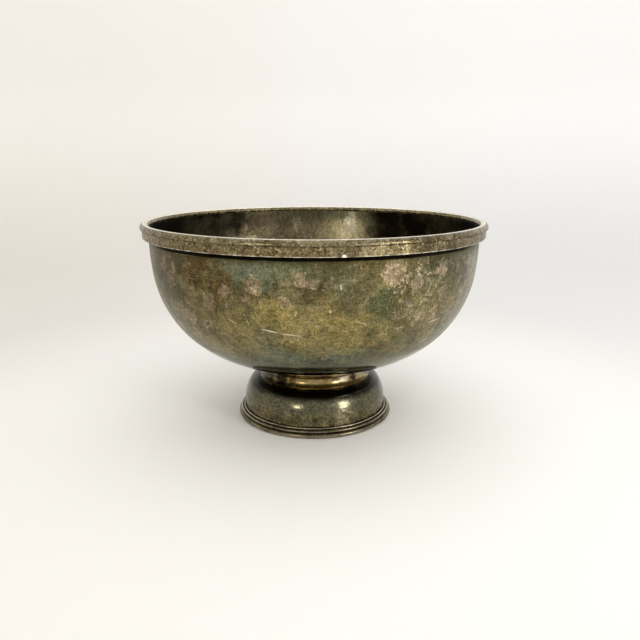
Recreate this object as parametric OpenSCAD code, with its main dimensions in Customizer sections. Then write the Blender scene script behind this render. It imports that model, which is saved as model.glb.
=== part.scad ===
// Footed punch bowl: a spun sheet bowl with an applied rim, on a neck collar and a rounded foot.
// The bowl and the foot are held together by a stud, washers and a nut inside the hollow foot.
// Millimetres, +Z up, origin on the table at the centre of the foot.

/* [Overall] */
// Outside diameter over the rim moulding
rim_d = 305; // [240:1:370]
// Height from the table to the top of the rim
total_h = 182.5; // [150:0.5:220]

/* [Bowl wall] */
// Thickness of the spun bowl sheet
bowl_sheet_t = 1; // [0.6:0.1:2]
// Radius of the wide arc up the side
side_arc_r = 390; // [325:5:480]
// Height of the wide side arc, from the rim band down to where the belly turns in
side_arc_h = 28.5; // [22:0.5:36]
// Radius of the shallow crown under the bowl
crown_arc_r = 214; // [178:1:260]
// Lean of the wall from upright where the rim band starts
wall_lean = 2; // [0:0.5:5]

/* [Rim] */
// How far the lip moulding stands out from the wall
rim_proud = 6.5; // [4:0.1:9]
// Depth of the moulding below its widest line, down to its flat seat
rim_seat = 1; // [0.4:0.1:2]
// Thickness of the flat hoop
band_t = 5; // [2:0.1:6]
// Height of the flat hoop
band_h = 7.5; // [4:0.5:14]

/* [Neck collar] */
// Gap between the foot's flat top and the bowl's underside, on the axis
neck_gap = 7; // [5.5:0.5:12]
// How far the bottom flange is set in from the edge of the foot's flat top
neck_set_in = 0.2; // [0:0.1:2]
// Depth of the hollow cove, from the bottom flange to the waist
cove_depth = 4.5; // [2:0.1:5]
// Radius of the cove's arc
cove_r = 7; // [6:0.5:9]
// Height of the waist above the foot's flat top
waist_h = 6.5; // [4:0.5:8]
// How far the top edge is set in from the bottom flange
neck_top_set_in = 1.2; // [0.2:0.1:2.5]
// Wall at the waist
neck_wall_t = 4; // [1.5:0.5:8]

/* [Foot] */
// Outside diameter of the upright foot wall
foot_wall_d = 132.2; // [110:0.1:160]
// Height of the foot's flat top above the table
foot_top_h = 38; // [33:0.5:40]
// Thickness of the foot sheet
foot_sheet_t = 1.2; // [0.8:0.1:2]
// Radius of the tight shoulder arc
shoulder_r = 11; // [7:0.5:13]
// Turn of the shoulder arc, in degrees
shoulder_turn = 57; // [40:1:70]
// Radius of the easier arc from the shoulder to the wall
flank_r = 32.6; // [20:0.2:40]

/* [Base moulding] */
// How far the bottom lip stands out from the foot wall
lip_proud = 6.4; // [5.2:0.1:9]
// Radius of the bottom lip's round
lip_r = 2.2; // [1.5:0.1:3]
// How far the lip's round is cut by the flat underside
lip_flat = 0.1; // [0.05:0.05:0.4]
// Radius of the round bead above the lip
bead_r = 1.4; // [1:0.1:2]
// How far the bead sits back from the lip
bead_setback = 1.7; // [1:0.1:3]
// How far the bead's top stands above the moulding's shelf
bead_rise = 0.4; // [0.1:0.1:0.8]
// Depth of the groove between lip and bead, from the bead's face
groove_depth = 0.9; // [0.4:0.1:1.4]
// Height of the moulding's flat shelf
ring_h = 6.6; // [5:0.1:9]
// Height of the rebate that the foot wall stands in
rebate_h = 3; // [1.5:0.5:4]
// Width of the moulding behind the foot wall
ring_inner_w = 2.1; // [1.5:0.1:5]
// Radius of the thin bead in the corner above the shelf
corner_bead_r = 1.1; // [0.6:0.1:1.6]
// Depth of the thin bead's soldered flats
corner_bead_flat = 0.2; // [0.1:0.05:0.4]

/* [Fixing] */
// Radius of the pad brazed under the bowl
pad_r = 14; // [9:0.5:20]
// Thickness of the pad on the axis
pad_t = 4; // [3:0.5:5]
// Diameter of the stud
stud_d = 8; // [5:0.5:10]
// Depth that the stud screws into the pad
stud_grip = 2.5; // [1.5:0.5:3]
// Clearance on the diameter of the holes that the stud passes through
stud_clear = 1; // [0.4:0.1:2]
// Stud left showing past the nut
stud_tail = 5; // [2:0.5:8]
// Chamfer at the end of the stud
stud_chamfer = 0.8; // [0.4:0.1:1.2]
// Radius of the large clamp washer
clamp_r = 22; // [14:0.5:32]
// Thickness of the clamp washer
clamp_t = 2; // [1:0.1:3]
// Width of the spring washer's ring
spring_w = 2.6; // [1.8:0.1:4]
// Thickness of the spring washer
spring_t = 2; // [1:0.1:3]
// Width of the split in the spring washer
spring_gap = 1; // [0.6:0.1:2]
// Width of the nut across its flats
nut_af = 13; // [11.5:0.5:17]
// Height of the nut
nut_h = 6.5; // [4:0.5:9]

/* [Hidden] */
$fn = 180;
eps = 0.01;
arc_steps = 24;      // flats that make each arc of a spun profile
silver = "#77735a";
warm_brass = "#8a6a34";
steel = "#8d8f8c";

// Rim: the moulding runs from the bowl's inner face out to the full diameter.
wall_r = rim_d / 2 - rim_proud;
wire_r = (rim_proud + bowl_sheet_t) / 2;
wire_c = [rim_d / 2 - wire_r, total_h - wire_r];
seat_z = wire_c.y - rim_seat;
band_z = seat_z - band_h;

// Bowl profile: three tangent arcs, with angles measured from straight down. The belly arc takes
// the one radius that is tangent to the side arc at its lower end and to the crown arc.
bowl_lift = foot_top_h + neck_gap;
crown_c = [0, bowl_lift + crown_arc_r];
side_c = [wall_r - side_arc_r * cos(wall_lean), band_z + side_arc_r * sin(wall_lean)];
belly_end = acos((side_c.y - band_z + side_arc_h) / side_arc_r);
belly_top = side_c + side_arc_r * [sin(belly_end), -cos(belly_end)];
to_top = belly_top - crown_c;
belly_arc_r = (to_top * to_top - crown_arc_r * crown_arc_r)
    / (2 * (to_top * [sin(belly_end), -cos(belly_end)] - crown_arc_r));
belly_c = belly_top - belly_arc_r * [sin(belly_end), -cos(belly_end)];
crown_end = atan2(belly_c.x, crown_c.y - belly_c.y);
side_end = 90 - wall_lean;

// Foot profile: flat top, shoulder arc, flank arc, upright wall.
foot_wall_r = foot_wall_d / 2;
flank_c = [foot_wall_r - flank_r, foot_top_h - shoulder_r + (shoulder_r - flank_r) * cos(shoulder_turn)];
shoulder_c = [flank_c.x + (flank_r - shoulder_r) * sin(shoulder_turn), foot_top_h - shoulder_r];

// Neck collar: it stands on the foot's flat top, which ends where the shoulder arc starts.
neck_flange_r = shoulder_c.x - neck_set_in;
neck_top_r = neck_flange_r - neck_top_set_in;
waist_r = neck_flange_r - cove_depth;
neck_bore_r = waist_r - neck_wall_t;
cove_c = [waist_r + cove_r, foot_top_h + waist_h];

// Base moulding.
lip_face = foot_wall_r + lip_proud;
lip_c = [lip_face - lip_r, lip_r - lip_flat];
bead_face = lip_face - bead_setback;
bead_c = [bead_face - bead_r, ring_h + bead_rise - bead_r];
ring_in_r = foot_wall_r - ring_inner_w;
corner_off = corner_bead_r - corner_bead_flat;
corner_c = [foot_wall_r + corner_off, ring_h + corner_off];

// Fixing, from the pad down.
pad_z = bowl_lift - pad_t;
clamp_z = foot_top_h - foot_sheet_t - clamp_t;
spring_z = clamp_z - spring_t;
nut_z = spring_z - nut_h;
stud_end_z = nut_z - stud_tail;
stud_hole_r = (stud_d + stud_clear) / 2;

// Points on an arc about c from angle a to angle b, measured from straight down.
function arc(c, r, a, b) =
    [for (i = [0 : arc_steps]) let (t = a + (b - a) * i / arc_steps) c + r * [sin(t), -cos(t)]];

// Bowl profile from the axis to the band, moved inwards by inset.
function bowl_line(inset) = concat(
    arc(crown_c, crown_arc_r - inset, 0, crown_end),
    arc(belly_c, belly_arc_r - inset, crown_end, belly_end),
    arc(side_c, side_arc_r - inset, belly_end, side_end),
    [[wall_r - inset, seat_z]]);

// Foot profile from the hole's edge to the bottom of the wall, moved inwards by inset.
function foot_line(inset) = concat(
    [[stud_hole_r, foot_top_h - inset]],
    arc(shoulder_c, shoulder_r - inset, 180, 180 - shoulder_turn),
    arc(flank_c, flank_r - inset, 180 - shoulder_turn, 90),
    [[foot_wall_r - inset, rebate_h]]);

function flip(line) = [for (i = [len(line) - 1 : -1 : 0]) line[i]];

// The whole space inside the bowl's outer surface, for pieces that seat against it.
module bowl_form() {
    polygon(concat(bowl_line(0), [[0, seat_z]]));
}

// A flat ring between two radii.
module washer_ring(outer, inner, z, h) {
    translate([0, 0, z])
        difference() {
            cylinder(r = outer, h = h);
            translate([0, 0, -eps]) cylinder(r = inner, h = h + 2 * eps);
        }
}

module bowl_shell() {
    color(silver)
        rotate_extrude()
            polygon(concat(bowl_line(0), flip(bowl_line(bowl_sheet_t))));
}

module rim_wire() {
    color(silver)
        rotate_extrude()
            difference() {
                translate(wire_c) circle(r = wire_r);
                translate([wire_c.x - 2 * wire_r, seat_z - 2 * wire_r]) square([4 * wire_r, 2 * wire_r]);
            }
}

module rim_band() {
    color(silver)
        rotate_extrude()
            translate([wall_r, band_z]) square([band_t, band_h]);
}

module neck_collar() {
    color(warm_brass)
        rotate_extrude()
            difference() {
                union() {
                    translate([neck_bore_r, foot_top_h]) square([neck_flange_r - neck_bore_r, waist_h]);
                    translate([neck_bore_r, foot_top_h])
                        square([neck_top_r - neck_bore_r, belly_c.y - foot_top_h]);
                }
                translate(cove_c) circle(r = cove_r);
                bowl_form();
            }
}

module foot_dome() {
    color(silver)
        rotate_extrude()
            polygon(concat(foot_line(0), flip(foot_line(foot_sheet_t))));
}

module foot_bead() {
    color(silver)
        rotate_extrude()
            intersection() {
                translate(corner_c) circle(r = corner_bead_r);
                translate([foot_wall_r, ring_h]) square(3 * corner_bead_r);
            }
}

module base_ring() {
    color(silver)
        rotate_extrude()
            difference() {
                union() {
                    translate([ring_in_r, 0]) square([bead_face - groove_depth - ring_in_r, ring_h]);
                    translate(lip_c) circle(r = lip_r);
                    translate(bead_c) circle(r = bead_r);
                }
                translate([ring_in_r - eps, rebate_h]) square([foot_wall_r - ring_in_r + eps, ring_h]);
                translate([ring_in_r, -lip_r]) square([lip_face, lip_r]);
            }
}

module stud_pad() {
    color(warm_brass)
        rotate_extrude()
            difference() {
                translate([0, pad_z]) square([pad_r, belly_c.y - pad_z]);
                translate([-eps, pad_z - eps]) square([stud_d / 2 + eps, stud_grip + eps]);
                bowl_form();
            }
}

module mounting_stud() {
    color(steel)
        rotate_extrude()
            polygon([[0, stud_end_z], [stud_d / 2 - stud_chamfer, stud_end_z],
                     [stud_d / 2, stud_end_z + stud_chamfer], [stud_d / 2, pad_z + stud_grip],
                     [0, pad_z + stud_grip]]);
}

module clamp_washer() {
    color(steel) washer_ring(clamp_r, stud_hole_r, clamp_z, clamp_t);
}

module lock_washer() {
    color(steel)
        difference() {
            washer_ring(stud_hole_r + spring_w, stud_hole_r, spring_z, spring_t);
            translate([stud_hole_r / 2, -spring_gap / 2, spring_z - eps])
                cube([stud_hole_r + spring_w, spring_gap, spring_t + 2 * eps]);
        }
}

module hex_nut() {
    color(steel)
        translate([0, 0, nut_z])
            difference() {
                cylinder(r = nut_af / 2 / cos(30), h = nut_h, $fn = 6);
                translate([0, 0, -eps]) cylinder(r = stud_d / 2, h = nut_h + 2 * eps);
            }
}

bowl_shell();
rim_wire();
rim_band();
neck_collar();
foot_dome();
foot_bead();
base_ring();
stud_pad();
mounting_stud();
clamp_washer();
lock_washer();
hex_nut();
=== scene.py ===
"""A footed punch bowl in tarnished silver plate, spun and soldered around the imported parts."""

import math

import bmesh
import bpy
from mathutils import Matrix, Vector


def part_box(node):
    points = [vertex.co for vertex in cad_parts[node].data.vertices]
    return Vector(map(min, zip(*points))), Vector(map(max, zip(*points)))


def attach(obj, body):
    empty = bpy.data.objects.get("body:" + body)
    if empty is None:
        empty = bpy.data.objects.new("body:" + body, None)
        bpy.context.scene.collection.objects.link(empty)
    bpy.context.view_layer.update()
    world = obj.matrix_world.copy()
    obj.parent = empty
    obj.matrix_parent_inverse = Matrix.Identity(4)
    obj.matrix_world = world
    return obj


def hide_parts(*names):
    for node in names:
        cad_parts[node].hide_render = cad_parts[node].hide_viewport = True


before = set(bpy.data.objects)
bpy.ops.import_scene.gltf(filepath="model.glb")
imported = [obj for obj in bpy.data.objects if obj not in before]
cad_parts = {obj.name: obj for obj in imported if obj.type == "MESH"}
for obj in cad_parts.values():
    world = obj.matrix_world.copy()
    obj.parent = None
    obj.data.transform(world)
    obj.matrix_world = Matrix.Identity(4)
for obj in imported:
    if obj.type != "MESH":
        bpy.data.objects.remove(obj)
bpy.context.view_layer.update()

scene = bpy.context.scene
scene.view_settings.view_transform = "Standard"


# ------ camera

FOCAL_LENGTH_MM = 35.553
SENSOR_WIDTH_MM = 36
EYE = (0.0051, -0.5753, 0.2366)
EYE_TILT = 75.52       # degrees up from looking straight down


def add_camera():
    lens = bpy.data.cameras.new("bowl_camera")
    lens.lens = FOCAL_LENGTH_MM
    lens.sensor_width = SENSOR_WIDTH_MM
    lens.clip_start = 0.01
    eye = bpy.data.objects.new("bowl_camera", lens)
    eye.location = EYE
    eye.rotation_euler = (math.radians(EYE_TILT), 0, 0)
    scene.collection.objects.link(eye)
    scene.camera = eye


add_camera()


# ------ sizes, in metres

SHEET = 0.001          # bowl sheet
SIDE_ARC = 0.390       # wide arc up the bowl's side
SIDE_ARC_HEIGHT = 0.0285
CROWN_ARC = 0.214      # shallow crown under the bowl
WALL_LEAN = 2.0        # degrees from upright under the hoop
HOOP_LOW_ROUND = 0.0005
HOOP_HIGH_ROUND = 0.0003
FOOT_SHEET = 0.0012
SHOULDER_ARC = 0.011
SHOULDER_TURN = 57.0
FLANK_ARC = 0.0326
COVE_ARC = 0.007
WAIST_HEIGHT = 0.0065
COVE_DEPTH = 0.0045
NECK_SET_IN = 0.0002
NECK_TOP_SET_IN = 0.0012
NECK_WALL = 0.004
STUD_HOLE = 0.0045
LIP_PROUD = 0.0064     # base lip beyond the foot wall
LIP_ROUND = 0.0022
LIP_FLAT = 0.0001
BEAD_ROUND = 0.0014
BEAD_SET_BACK = 0.0017
BEAD_RISE = 0.0004
GROOVE = 0.0009
SHELF = 0.0066
REBATE = 0.003
RING_BEHIND = 0.0021
CORNER_ROUND = 0.0011
CORNER_FLAT = 0.0002
STUD_CHAMFER = 0.0008
THREAD_PITCH = 0.00125
THREAD_DEPTH = 0.0006
NUT_BORE = 0.004
NUT_CHAMFER = 0.0009
NUT_FACE_SHARE = 0.97  # end face against the width across flats

shell_low, shell_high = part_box("bowl_shell")
rim_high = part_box("rim_wire")[1]
hoop_low, hoop_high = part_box("rim_band")
foot_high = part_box("foot_dome")[1]
stud_low, stud_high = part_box("mounting_stud")
nut_low, nut_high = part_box("hex_nut")

RIM_OUT, RIM_TOP = rim_high.x, rim_high.z
WALL = shell_high.x
LIFT = shell_low.z
SEAT = shell_high.z
HOOP_OUT, HOOP_LOW = hoop_high.x, hoop_low.z
WIRE_ROUND = (RIM_OUT - WALL + SHEET) / 2
CREST = RIM_OUT - WIRE_ROUND
FOOT_WALL = foot_high.x
FOOT_TOP = foot_high.z


# ------ turned outlines

def on_arc(centre, radius, degrees):
    """A point on an arc, with the angle measured from straight down."""
    a = math.radians(degrees)
    return (centre[0] + radius * math.sin(a), centre[1] - radius * math.cos(a))


def arc(centre, radius, start, end, steps):
    return [on_arc(centre, radius, start + (end - start) * i / steps) for i in range(steps + 1)]


def straight(a, b, steps):
    """Points from a towards b, without b."""
    return [(a[0] + (b[0] - a[0]) * i / steps, a[1] + (b[1] - a[1]) * i / steps) for i in range(steps)]


def bowl_line(inset):
    """The bowl's three tangent arcs from the axis to the hoop, moved inwards by inset."""
    lean = math.radians(WALL_LEAN)
    crown = Vector((0, LIFT + CROWN_ARC))
    side = Vector((WALL - SIDE_ARC * math.cos(lean), HOOP_LOW + SIDE_ARC * math.sin(lean)))
    belly_end = math.degrees(math.acos((side.y - HOOP_LOW + SIDE_ARC_HEIGHT) / SIDE_ARC))
    out = Vector(on_arc((0, 0), 1, belly_end))
    reach = side + SIDE_ARC * out - crown
    belly_arc = (reach.dot(reach) - CROWN_ARC ** 2) / (2 * (reach.dot(out) - CROWN_ARC))
    belly = side + (SIDE_ARC - belly_arc) * out
    crown_end = math.degrees(math.atan2(belly.x, crown.y - belly.y))
    return (arc(crown, CROWN_ARC - inset, 0, crown_end, 30)
            + arc(belly, belly_arc - inset, crown_end, belly_end, 44)[1:]
            + arc(side, SIDE_ARC - inset, belly_end, 90 - WALL_LEAN, 12)[1:]
            + [(WALL - inset, HOOP_LOW + (SEAT - HOOP_LOW) * k / 3) for k in (1, 2, 3)])


def on_bowl(x, z, side=-1):
    """The point on the bowl's outside at that x and height, on its front or, with side 1, its back."""
    line = bowl_line(0)
    for (r0, z0), (r1, z1) in zip(line, line[1:]):
        if z0 <= z <= z1:
            radius = r0 + (r1 - r0) * (z - z0) / (z1 - z0)
            return (x, side * math.sqrt(radius * radius - x * x), z)
    raise ValueError(z)


def foot_line(inset):
    flank = (FOOT_WALL - FLANK_ARC, FOOT_TOP - SHOULDER_ARC
             + (SHOULDER_ARC - FLANK_ARC) * math.cos(math.radians(SHOULDER_TURN)))
    shoulder = (flank[0] + (FLANK_ARC - SHOULDER_ARC) * math.sin(math.radians(SHOULDER_TURN)),
                FOOT_TOP - SHOULDER_ARC)
    top = arc(shoulder, SHOULDER_ARC - inset, 180, 180 - SHOULDER_TURN, 16)
    return (straight((STUD_HOLE, FOOT_TOP - inset), top[0], 10) + top
            + arc(flank, FLANK_ARC - inset, 180 - SHOULDER_TURN, 90, 22)[1:]
            + [(FOOT_WALL - inset, REBATE + (flank[1] - REBATE) * k / 5) for k in (4, 3, 2, 1, 0)])


def shoulder_radius():
    return FOOT_WALL - FLANK_ARC + (FLANK_ARC - SHOULDER_ARC) * math.sin(math.radians(SHOULDER_TURN))


def crown_height(radius):
    """Height of the bowl's underside near the axis."""
    return LIFT + CROWN_ARC - math.sqrt(CROWN_ARC ** 2 - radius ** 2)


def rim_outline():
    centre = (CREST, RIM_TOP - WIRE_ROUND)
    turn = math.degrees(math.acos((centre[1] - SEAT) / WIRE_ROUND))
    return arc(centre, WIRE_ROUND, turn, 360 - turn, 34)


def hoop_outline():
    low, high = HOOP_LOW_ROUND, HOOP_HIGH_ROUND
    return ([(WALL, HOOP_LOW)] + arc((HOOP_OUT - low, HOOP_LOW + low), low, 0, 90, 6)
            + straight((HOOP_OUT, HOOP_LOW + low), (HOOP_OUT, SEAT - high), 12)[1:]
            + arc((HOOP_OUT - high, SEAT - high), high, 90, 180, 6) + [(WALL, SEAT)])


def neck_outline():
    flange = shoulder_radius() - NECK_SET_IN
    top = flange - NECK_TOP_SET_IN
    cove = (flange - COVE_DEPTH + COVE_ARC, FOOT_TOP + WAIST_HEIGHT)
    bore = flange - COVE_DEPTH - NECK_WALL
    low = 360 - math.degrees(math.acos(WAIST_HEIGHT / COVE_ARC))
    high = 180 + math.degrees(math.asin((cove[0] - top) / COVE_ARC))
    crown = [(bore + (top - bore) * k / 6, crown_height(bore + (top - bore) * k / 6)) for k in range(7)]
    return [(bore, FOOT_TOP)] + arc(cove, COVE_ARC, low, high, 24) + crown[::-1]


def corner_bead_outline():
    centre = (FOOT_WALL + CORNER_ROUND - CORNER_FLAT, SHELF + CORNER_ROUND - CORNER_FLAT)
    cut = math.degrees(math.acos((CORNER_ROUND - CORNER_FLAT) / CORNER_ROUND))
    return [(FOOT_WALL, SHELF)] + arc(centre, CORNER_ROUND, cut, 270 - cut, 16)


def base_outline():
    face = FOOT_WALL + LIP_PROUD
    lip = (face - LIP_ROUND, LIP_ROUND - LIP_FLAT)
    bead_face = face - BEAD_SET_BACK
    bead = (bead_face - BEAD_ROUND, SHELF + BEAD_RISE - BEAD_ROUND)
    groove = bead_face - GROOVE
    inner = FOOT_WALL - RING_BEHIND
    start = math.degrees(math.acos(lip[1] / LIP_ROUND))
    end = 180 + math.degrees(math.asin((lip[0] - groove) / LIP_ROUND))
    low = math.degrees(math.asin((groove - bead[0]) / BEAD_ROUND))
    high = 180 + math.degrees(math.acos((SHELF - bead[1]) / BEAD_ROUND))
    return ([(inner, 0)] + arc(lip, LIP_ROUND, start, end, 26) + arc(bead, BEAD_ROUND, low, high, 22)
            + [(FOOT_WALL, SHELF), (FOOT_WALL, REBATE), (inner, REBATE)])


def stud_outline():
    radius = stud_high.x
    low, high = stud_low.z, stud_high.z
    rows = [(0, low), (radius - STUD_CHAMFER, low), (radius, low + STUD_CHAMFER)]
    rows += straight((radius, low + STUD_CHAMFER), (radius, high), 150)[1:]
    return rows + [(radius, high), (0, high)]


def nut_outline():
    across = nut_high.y - nut_low.y
    corner = across / 2 / math.cos(math.radians(30))
    low, high = nut_low.z, nut_high.z
    face = across / 2 * NUT_FACE_SHARE
    return [(NUT_BORE, low), (face, low), (corner, low + NUT_CHAMFER), (corner, high - NUT_CHAMFER),
            (face, high), (NUT_BORE, high)]


# ------ the lathe

def put(tree, socket, value):
    """Links a value that comes from another node, and sets a plain one."""
    if isinstance(value, bpy.types.NodeSocket):
        tree.links.new(value, socket)
    elif socket.type == "RGBA" and len(value) == 3:
        socket.default_value = (*value, 1)
    else:
        socket.default_value = value


def add(tree, kind, values=None, **settings):
    """A node with its inputs set or linked."""
    made = tree.nodes.new(kind)
    for name, value in settings.items():
        setattr(made, name, value)
    for name, value in (values or {}).items():
        put(tree, made.inputs[name], value)
    return made


def calc(tree, operation, a, b=0.0, clamp=False):
    return add(tree, "ShaderNodeMath", {0: a, 1: b}, operation=operation, use_clamp=clamp).outputs[0]


def times(tree, a, b):
    return calc(tree, "MULTIPLY", a, b)


def minus(tree, a, b):
    return calc(tree, "SUBTRACT", a, b)


def ease(tree, value, low, high):
    """0 below low, 1 above high, smooth between."""
    return add(tree, "ShaderNodeMapRange", {"Value": value, "From Min": low, "From Max": high},
               interpolation_type="SMOOTHSTEP").outputs["Result"]


def blend(tree, share, a, b, mode="MIX"):
    """Colour a where share is 0, colour b where it is 1."""
    return add(tree, "ShaderNodeMix", {0: share, 6: a, 7: b}, data_type="RGBA", blend_type=mode).outputs[2]


def split(tree, vector):
    return add(tree, "ShaderNodeSeparateXYZ", {0: vector}).outputs


def sockets(tree, ins, outs):
    for label, kind, value in ins:
        made = tree.interface.new_socket(label, in_out="INPUT", socket_type="NodeSocket" + kind)
        if value is not None:
            made.default_value = value
    for label, kind in outs:
        tree.interface.new_socket(label, in_out="OUTPUT", socket_type="NodeSocket" + kind)
    return tree.nodes.new("NodeGroupInput").outputs, tree.nodes.new("NodeGroupOutput").inputs


LINE_VALUES = ("worn", "grime", "inside", "thread")


def lathe_tree():
    """Turns an outline about Z, with optional soft dents, a thread and flats."""
    tree = bpy.data.node_groups.new("Lathe", "GeometryNodeTree")
    given, result = sockets(tree, [
        ("Outline", "Geometry", None), ("Around", "Int", 256), ("Dent Depth", "Float", 0.0),
        ("Dent Size", "Float", 0.07), ("Dent Low", "Float", 0.0), ("Dent High", "Float", 1.0),
        ("Dent Fade", "Float", 0.015), ("Seed", "Float", 1.0), ("Thread Pitch", "Float", 0.001),
        ("Thread Depth", "Float", 0.0), ("Flats Across", "Float", 10.0), ("Material", "Material", None),
    ], [("Mesh", "Geometry")])
    outline = given["Outline"]
    rows = add(tree, "GeometryNodeAttributeDomainSize", {"Geometry": outline}).outputs["Point Count"]
    grid = add(tree, "GeometryNodeMeshGrid",
               {"Vertices X": calc(tree, "ADD", given["Around"], 1), "Vertices Y": rows}).outputs["Mesh"]
    index = add(tree, "GeometryNodeInputIndex").outputs[0]
    column = calc(tree, "FLOOR", calc(tree, "DIVIDE", calc(tree, "ADD", index, 0.5), rows))
    row = calc(tree, "ROUND", minus(tree, index, times(tree, column, rows)))
    angle = times(tree, calc(tree, "DIVIDE", column, given["Around"]), math.tau)

    def sample(value, kind):
        return add(tree, "GeometryNodeSampleIndex", {"Geometry": outline, "Value": value, "Index": row},
                   data_type=kind).outputs[0]

    line = split(tree, sample(add(tree, "GeometryNodeInputPosition").outputs[0], "FLOAT_VECTOR"))
    out = add(tree, "ShaderNodeCombineXYZ",
              {0: calc(tree, "COSINE", angle), 1: calc(tree, "SINE", angle)}).outputs[0]

    def stretch(vector, by):
        return add(tree, "ShaderNodeVectorMath", {0: vector, "Scale": by}, operation="SCALE").outputs[0]

    def plus(a, b):
        return add(tree, "ShaderNodeVectorMath", {0: a, 1: b}, operation="ADD").outputs[0]

    height = add(tree, "ShaderNodeCombineXYZ", {2: line["Z"]}).outputs[0]
    turned = plus(stretch(out, line["X"]), height)

    noise = add(tree, "ShaderNodeTexNoise",
                {"Vector": turned, "W": given["Seed"], "Detail": 1.5,
                 "Scale": calc(tree, "DIVIDE", 1.0, given["Dent Size"])}, noise_dimensions="4D").outputs[0]
    above = ease(tree, line["Z"], given["Dent Low"], calc(tree, "ADD", given["Dent Low"], given["Dent Fade"]))
    below = ease(tree, line["Z"], minus(tree, given["Dent High"], given["Dent Fade"]), given["Dent High"])
    allowed = times(tree, above, minus(tree, 1.0, below))
    dent = times(tree, times(tree, minus(tree, noise, 0.5), allowed), times(tree, given["Dent Depth"], 2.0))

    def carried(name):
        read = add(tree, "GeometryNodeInputNamedAttribute", {"Name": name}, data_type="FLOAT").outputs[0]
        return sample(read, "FLOAT")

    carry = {name: carried(name) for name in LINE_VALUES}
    climb = minus(tree, calc(tree, "DIVIDE", line["Z"], given["Thread Pitch"]),
                  calc(tree, "DIVIDE", angle, math.tau))
    groove = times(tree, calc(tree, "PINGPONG", climb, 0.5), 2.0)
    cut = times(tree, times(tree, groove, given["Thread Depth"]), carry["thread"])
    sixth = minus(tree, calc(tree, "MODULO", angle, math.pi / 3), math.pi / 6)
    flat = calc(tree, "DIVIDE", calc(tree, "DIVIDE", given["Flats Across"], 2.0),
                calc(tree, "COSINE", sixth))
    trimmed = minus(tree, calc(tree, "MINIMUM", line["X"], flat), line["X"])
    shift = minus(tree, calc(tree, "ADD", dent, trimmed), cut)
    mesh = add(tree, "GeometryNodeSetPosition",
               {"Geometry": grid, "Position": plus(turned, stretch(out, shift))}).outputs[0]
    for name, value in carry.items():
        mesh = add(tree, "GeometryNodeStoreNamedAttribute",
                   {"Geometry": mesh, "Name": name, "Value": value}, data_type="FLOAT",
                   domain="POINT").outputs[0]
    for kind, values in (("MergeByDistance", {"Distance": 2e-6}), ("SetShadeSmooth", {}),
                         ("RealizeInstances", {}), ("SetMaterial", {"Material": given["Material"]})):
        mesh = add(tree, "GeometryNode" + kind, {"Geometry": mesh, **values}).outputs[0]
    tree.links.new(mesh, result["Mesh"])
    return tree


LATHE = lathe_tree()


def near(point, marks):
    """How close an outline point is to (radius, height, reach) marks, 0 to 1."""
    best = 0.0
    for x, z, reach in marks:
        far = math.hypot(point[0] - x, point[1] - z) / reach
        best = max(best, 1 - min(far, 1))
    return best * best * (3 - 2 * best)


def turn(name, outline, material, ring=True, worn=(), grime=(), inside=None, thread=None, sharp=38,
         **sizes):
    """A turned piece: the outline goes once round the axis, as a plain mesh in place.

    ring closes the outline; worn and grime are marks for near(); inside and thread give a value
    from a point's index and from the point."""
    points = outline + (outline[:1] if ring else [])
    line = bpy.data.meshes.new(name + "_outline")
    line.from_pydata([(x, 0, z) for x, z in points], [(i, i + 1) for i in range(len(points) - 1)], [])
    values = {"worn": [near(p, worn) for p in points], "grime": [near(p, grime) for p in points],
              "inside": [inside(i) if inside else 0.0 for i in range(len(points))],
              "thread": [thread(p) if thread else 0.0 for p in points]}
    for key in LINE_VALUES:
        line.attributes.new(key, "FLOAT", "POINT").data.foreach_set("value", values[key])
    blank = bpy.data.objects.new(name + "_outline", line)
    scene.collection.objects.link(blank)
    lathe = blank.modifiers.new("Lathe", "NODES")
    lathe.node_group = LATHE
    wanted = dict(sizes, material=material)
    for item in LATHE.interface.items_tree:
        key = item.name.lower().replace(" ", "_")
        if item.in_out == "INPUT" and key in wanted:
            lathe[item.identifier] = wanted.pop(key)
    assert not wanted, wanted
    graph = bpy.context.evaluated_depsgraph_get()
    mesh = bpy.data.meshes.new_from_object(blank.evaluated_get(graph), preserve_all_data_layers=True,
                                           depsgraph=graph)
    bpy.data.objects.remove(blank)
    mesh.name = name
    work = bmesh.new()
    work.from_mesh(mesh)
    bmesh.ops.dissolve_degenerate(work, dist=1e-7, edges=work.edges)
    bmesh.ops.recalc_face_normals(work, faces=work.faces)
    work.to_mesh(mesh)
    work.free()
    mesh.set_sharp_from_angle(angle=math.radians(sharp))
    piece = bpy.data.objects.new(name, mesh)
    scene.collection.objects.link(piece)
    return piece


# ------ shader effects

def effect(name, ins, outs=(("Mask", "Float"),)):
    """A shader group with a Vector input and the ones named."""
    tree = bpy.data.node_groups.new(name, "ShaderNodeTree")
    return tree, *sockets(tree, [("Vector", "Vector", None)] + ins, outs)


def mottle_effect():
    """Soft cloudy areas."""
    tree, given, out = effect("Mottle", [
        ("Size", "Float", 0.03), ("Seed", "Float", 0.0), ("Low", "Float", 0.45), ("High", "Float", 0.6),
        ("Detail", "Float", 5.0)])
    noise = add(tree, "ShaderNodeTexNoise",
                {"Vector": given["Vector"], "W": given["Seed"], "Detail": given["Detail"],
                 "Roughness": 0.62, "Scale": calc(tree, "DIVIDE", 1.0, given["Size"])},
                noise_dimensions="4D").outputs[0]
    tree.links.new(ease(tree, noise, given["Low"], given["High"]), out["Mask"])
    return tree


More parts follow.
